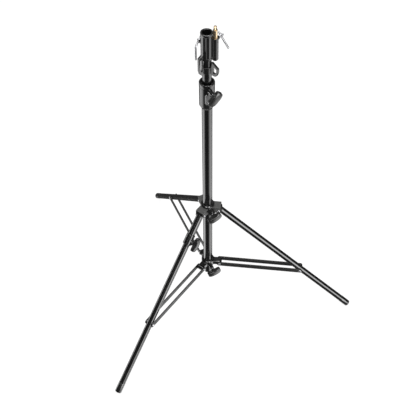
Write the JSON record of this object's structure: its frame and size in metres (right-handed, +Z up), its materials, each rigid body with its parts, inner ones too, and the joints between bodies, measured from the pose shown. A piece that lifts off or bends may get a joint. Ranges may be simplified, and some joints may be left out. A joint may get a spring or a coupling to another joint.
{
  "type": "lighting stand",
  "caption": "Heavy telescopic lighting stand: braced folding tripod with a levelling leg, lockable riser, 28 mm socket and a side spigot on a combined head.",
  "frame": {"origin": "centre of the flat lower end of the column, on the column's axis, 160 mm above the floor", "axes": "+Z up the column, +X towards the right leg, +Y completes a right-handed frame; the rear leg is at 120 degrees and the levelling leg at 240 degrees about +Z"},
  "size_m": [0.8929, 1.027, 1.3585],
  "materials": {
    "tube_paint": "gloss black enamel",
    "cast_paint": "satin black powder coat",
    "bracket_paint": "satin charcoal",
    "black_plastic": "moulded, fine grain",
    "white_plastic": "moulded",
    "zinc": "zinc plated",
    "brass": "turned",
    "foot_plastic": "moulded"
  },
  "bodies": {
    "column": {"column_tube": "tube_paint", "column_plug": "black_plastic", "top_collar": "cast_paint", "collar_cap": "cast_paint", "collar_bush": "black_plastic"},
    "collar_brake": {"collar_pad": "black_plastic"},
    "collar_lock": {"collar_screw": "zinc", "collar_knob": "black_plastic"},
    "glide": {"riser_glide": "white_plastic"},
    "riser": {"riser_tube": "tube_paint", "riser_stop": "black_plastic", "riser_clip": "zinc", "head_casting": "cast_paint", "head_pin": "zinc", "cable_hooks": "cast_paint"},
    "socket_lock": {"socket_screw": "zinc"},
    "socket_handle": {"socket_bar": "zinc"},
    "spigot_lock": {"spigot_screw": "zinc"},
    "spigot_handle": {"spigot_bar": "zinc"},
    "spigot": {"spigot": "brass"},
    "lower_collar": {"lower_collar": "cast_paint", "lower_bush": "black_plastic", "brace_pins": "zinc", "level_collar_pin": "zinc"},
    "lower_brake": {"lower_pad": "black_plastic"},
    "lower_lock": {"lower_screw": "zinc", "lower_knob": "black_plastic"},
    "hub": {"hub_ring": "cast_paint", "hub_bush": "black_plastic", "hub_brackets": "bracket_paint", "hub_pins": "zinc", "level_hub_pin": "zinc"},
    "hub_brake": {"hub_pad": "black_plastic"},
    "hub_lock": {"hub_screw": "zinc", "hub_knob": "black_plastic"},
    "right_leg": {"right_leg_head": "black_plastic", "right_leg_tube": "tube_paint", "right_leg_bushing": "zinc", "right_foot": "foot_plastic"},
    "right_brace": {"right_braces": "tube_paint", "right_brace_studs": "zinc"},
    "rear_leg": {"rear_leg_head": "black_plastic", "rear_leg_tube": "tube_paint", "rear_leg_bushing": "zinc", "rear_foot": "foot_plastic"},
    "rear_brace": {"rear_braces": "tube_paint", "rear_brace_studs": "zinc"},
    "level_upper": {"level_sleeve": "tube_paint", "level_clamp": "cast_paint", "level_bushing": "zinc"},
    "level_brake": {"level_pad": "black_plastic"},
    "level_lock": {"level_screw": "zinc", "level_knob": "black_plastic"},
    "level_leg": {"level_tube": "tube_paint", "level_foot": "foot_plastic"},
    "level_brace": {"level_braces": "tube_paint", "level_brace_studs": "zinc"}
  },
  "joints": [
    {"name": "base_slide", "type": "slide", "parent": "column", "child": "lower_collar", "axis": [0, 0, 1], "range_m": [-0.04, 0.01]},
    {"name": "hub_slide", "type": "slide", "parent": "lower_collar", "child": "hub", "axis": [0, 0, 1], "range_m": [0, 0.456]},
    {"name": "riser_slide", "type": "slide", "parent": "column", "child": "glide", "axis": [0, 0, 1], "range_m": [0, 0.75]},
    {"name": "riser_turn", "type": "hinge", "parent": "glide", "child": "riser", "pos_m": [0, 0, 0.13], "axis": [0, 0, 1], "continuous": true},
    {"name": "collar_brake_slide", "type": "slide", "parent": "column", "child": "collar_brake", "axis": [0.5, -0.866, 0], "range_m": [0, 0.00075]},
    {"name": "collar_lock_turn", "type": "hinge", "parent": "collar_brake", "child": "collar_lock", "pos_m": [0.025, -0.0433, 0.964], "axis": [0.5, -0.866, 0], "range_deg": [0, 180]},
    {"name": "hub_brake_slide", "type": "slide", "parent": "hub", "child": "hub_brake", "axis": [0.5, -0.866, 0], "range_m": [0, 0.00075]},
    {"name": "hub_lock_turn", "type": "hinge", "parent": "hub_brake", "child": "hub_lock", "pos_m": [0.033, -0.05716, 0.391], "axis": [0.5, -0.866, 0], "range_deg": [0, 180]},
    {"name": "lower_brake_slide", "type": "slide", "parent": "lower_collar", "child": "lower_brake", "axis": [0.5, -0.866, 0], "range_m": [0, 0.00075]},
    {"name": "lower_lock_turn", "type": "hinge", "parent": "lower_brake", "child": "lower_lock", "pos_m": [0.0325, -0.05629, 0.057], "axis": [0.5, -0.866, 0], "range_deg": [0, 180]},
    {"name": "level_brake_slide", "type": "slide", "parent": "level_upper", "child": "level_brake", "axis": [0.866, -0.5, 0], "range_m": [0, 0.00075]},
    {"name": "level_lock_turn", "type": "hinge", "parent": "level_brake", "child": "level_lock", "pos_m": [-0.06049, -0.10477, 0.30702], "axis": [0.866, -0.5, 0], "range_deg": [0, 180]},
    {"name": "right_leg_fold", "type": "hinge", "parent": "hub", "child": "right_leg", "pos_m": [0.042, 0, 0.386], "axis": [0, 1, 0], "range_deg": [0, 45.1]},
    {"name": "right_brace_fold", "type": "hinge", "parent": "lower_collar", "child": "right_brace", "pos_m": [0.047, 0, 0.06], "axis": [0, -1, 0], "range_deg": [0, 91]},
    {"name": "rear_leg_fold", "type": "hinge", "parent": "hub", "child": "rear_leg", "pos_m": [-0.021, 0.03637, 0.386], "axis": [-0.866, -0.5, 0], "range_deg": [0, 45.1]},
    {"name": "rear_brace_fold", "type": "hinge", "parent": "lower_collar", "child": "rear_brace", "pos_m": [-0.0235, 0.0407, 0.06], "axis": [0.866, 0.5, 0], "range_deg": [0, 91]},
    {"name": "level_leg_fold", "type": "hinge", "parent": "hub", "child": "level_upper", "pos_m": [-0.021, -0.03637, 0.386], "axis": [0.866, -0.5, 0], "range_deg": [0, 45.1]},
    {"name": "level_brace_fold", "type": "hinge", "parent": "lower_collar", "child": "level_brace", "pos_m": [-0.0235, -0.0407, 0.06], "axis": [-0.866, 0.5, 0], "range_deg": [0, 91]},
    {"name": "level_slide", "type": "slide", "parent": "level_upper", "child": "level_leg", "axis": [0.3536, 0.6124, 0.7071], "range_m": [-0.06, 0]},
    {"name": "socket_lock_turn", "type": "hinge", "parent": "riser", "child": "socket_lock", "pos_m": [-0.02511, 0.0145, 1.133], "axis": [-0.866, 0.5, 0], "range_deg": [0, 180]},
    {"name": "socket_bar_slide", "type": "slide", "parent": "socket_lock", "child": "socket_handle", "axis": [-0.3774, -0.6536, -0.6561], "range_m": [-0.008, 0.005]},
    {"name": "spigot_lock_turn", "type": "hinge", "parent": "riser", "child": "spigot_lock", "pos_m": [0.0402, 0.02022, 1.1505], "axis": [0.5878, 0.809, 0], "range_deg": [0, 180]},
    {"name": "spigot_bar_slide", "type": "slide", "parent": "spigot_lock", "child": "spigot_handle", "axis": [-0.5721, 0.4156, 0.7071], "range_m": [0, 0.035]},
    {"name": "spigot_lift", "type": "slide", "parent": "riser", "child": "spigot", "axis": [0, 0, 1], "range_m": [0, 0.08]}
  ],
  "couplings": [
    {"joint": "collar_lock_turn", "follows": "collar_brake_slide", "rad_per_m": 4188.7},
    {"joint": "hub_lock_turn", "follows": "hub_brake_slide", "rad_per_m": 4188.7},
    {"joint": "lower_lock_turn", "follows": "lower_brake_slide", "rad_per_m": 4188.7},
    {"joint": "level_lock_turn", "follows": "level_brake_slide", "rad_per_m": 4188.7},
    {"joint": "right_leg_fold", "follows": "hub_slide", "rad_per_m": 1.7224},
    {"joint": "right_brace_fold", "follows": "hub_slide", "rad_per_m": 3.4789},
    {"joint": "rear_leg_fold", "follows": "hub_slide", "rad_per_m": 1.7224},
    {"joint": "rear_brace_fold", "follows": "hub_slide", "rad_per_m": 3.4789},
    {"joint": "level_leg_fold", "follows": "hub_slide", "rad_per_m": 1.7224},
    {"joint": "level_brace_fold", "follows": "hub_slide", "rad_per_m": 3.4789}
  ]
}
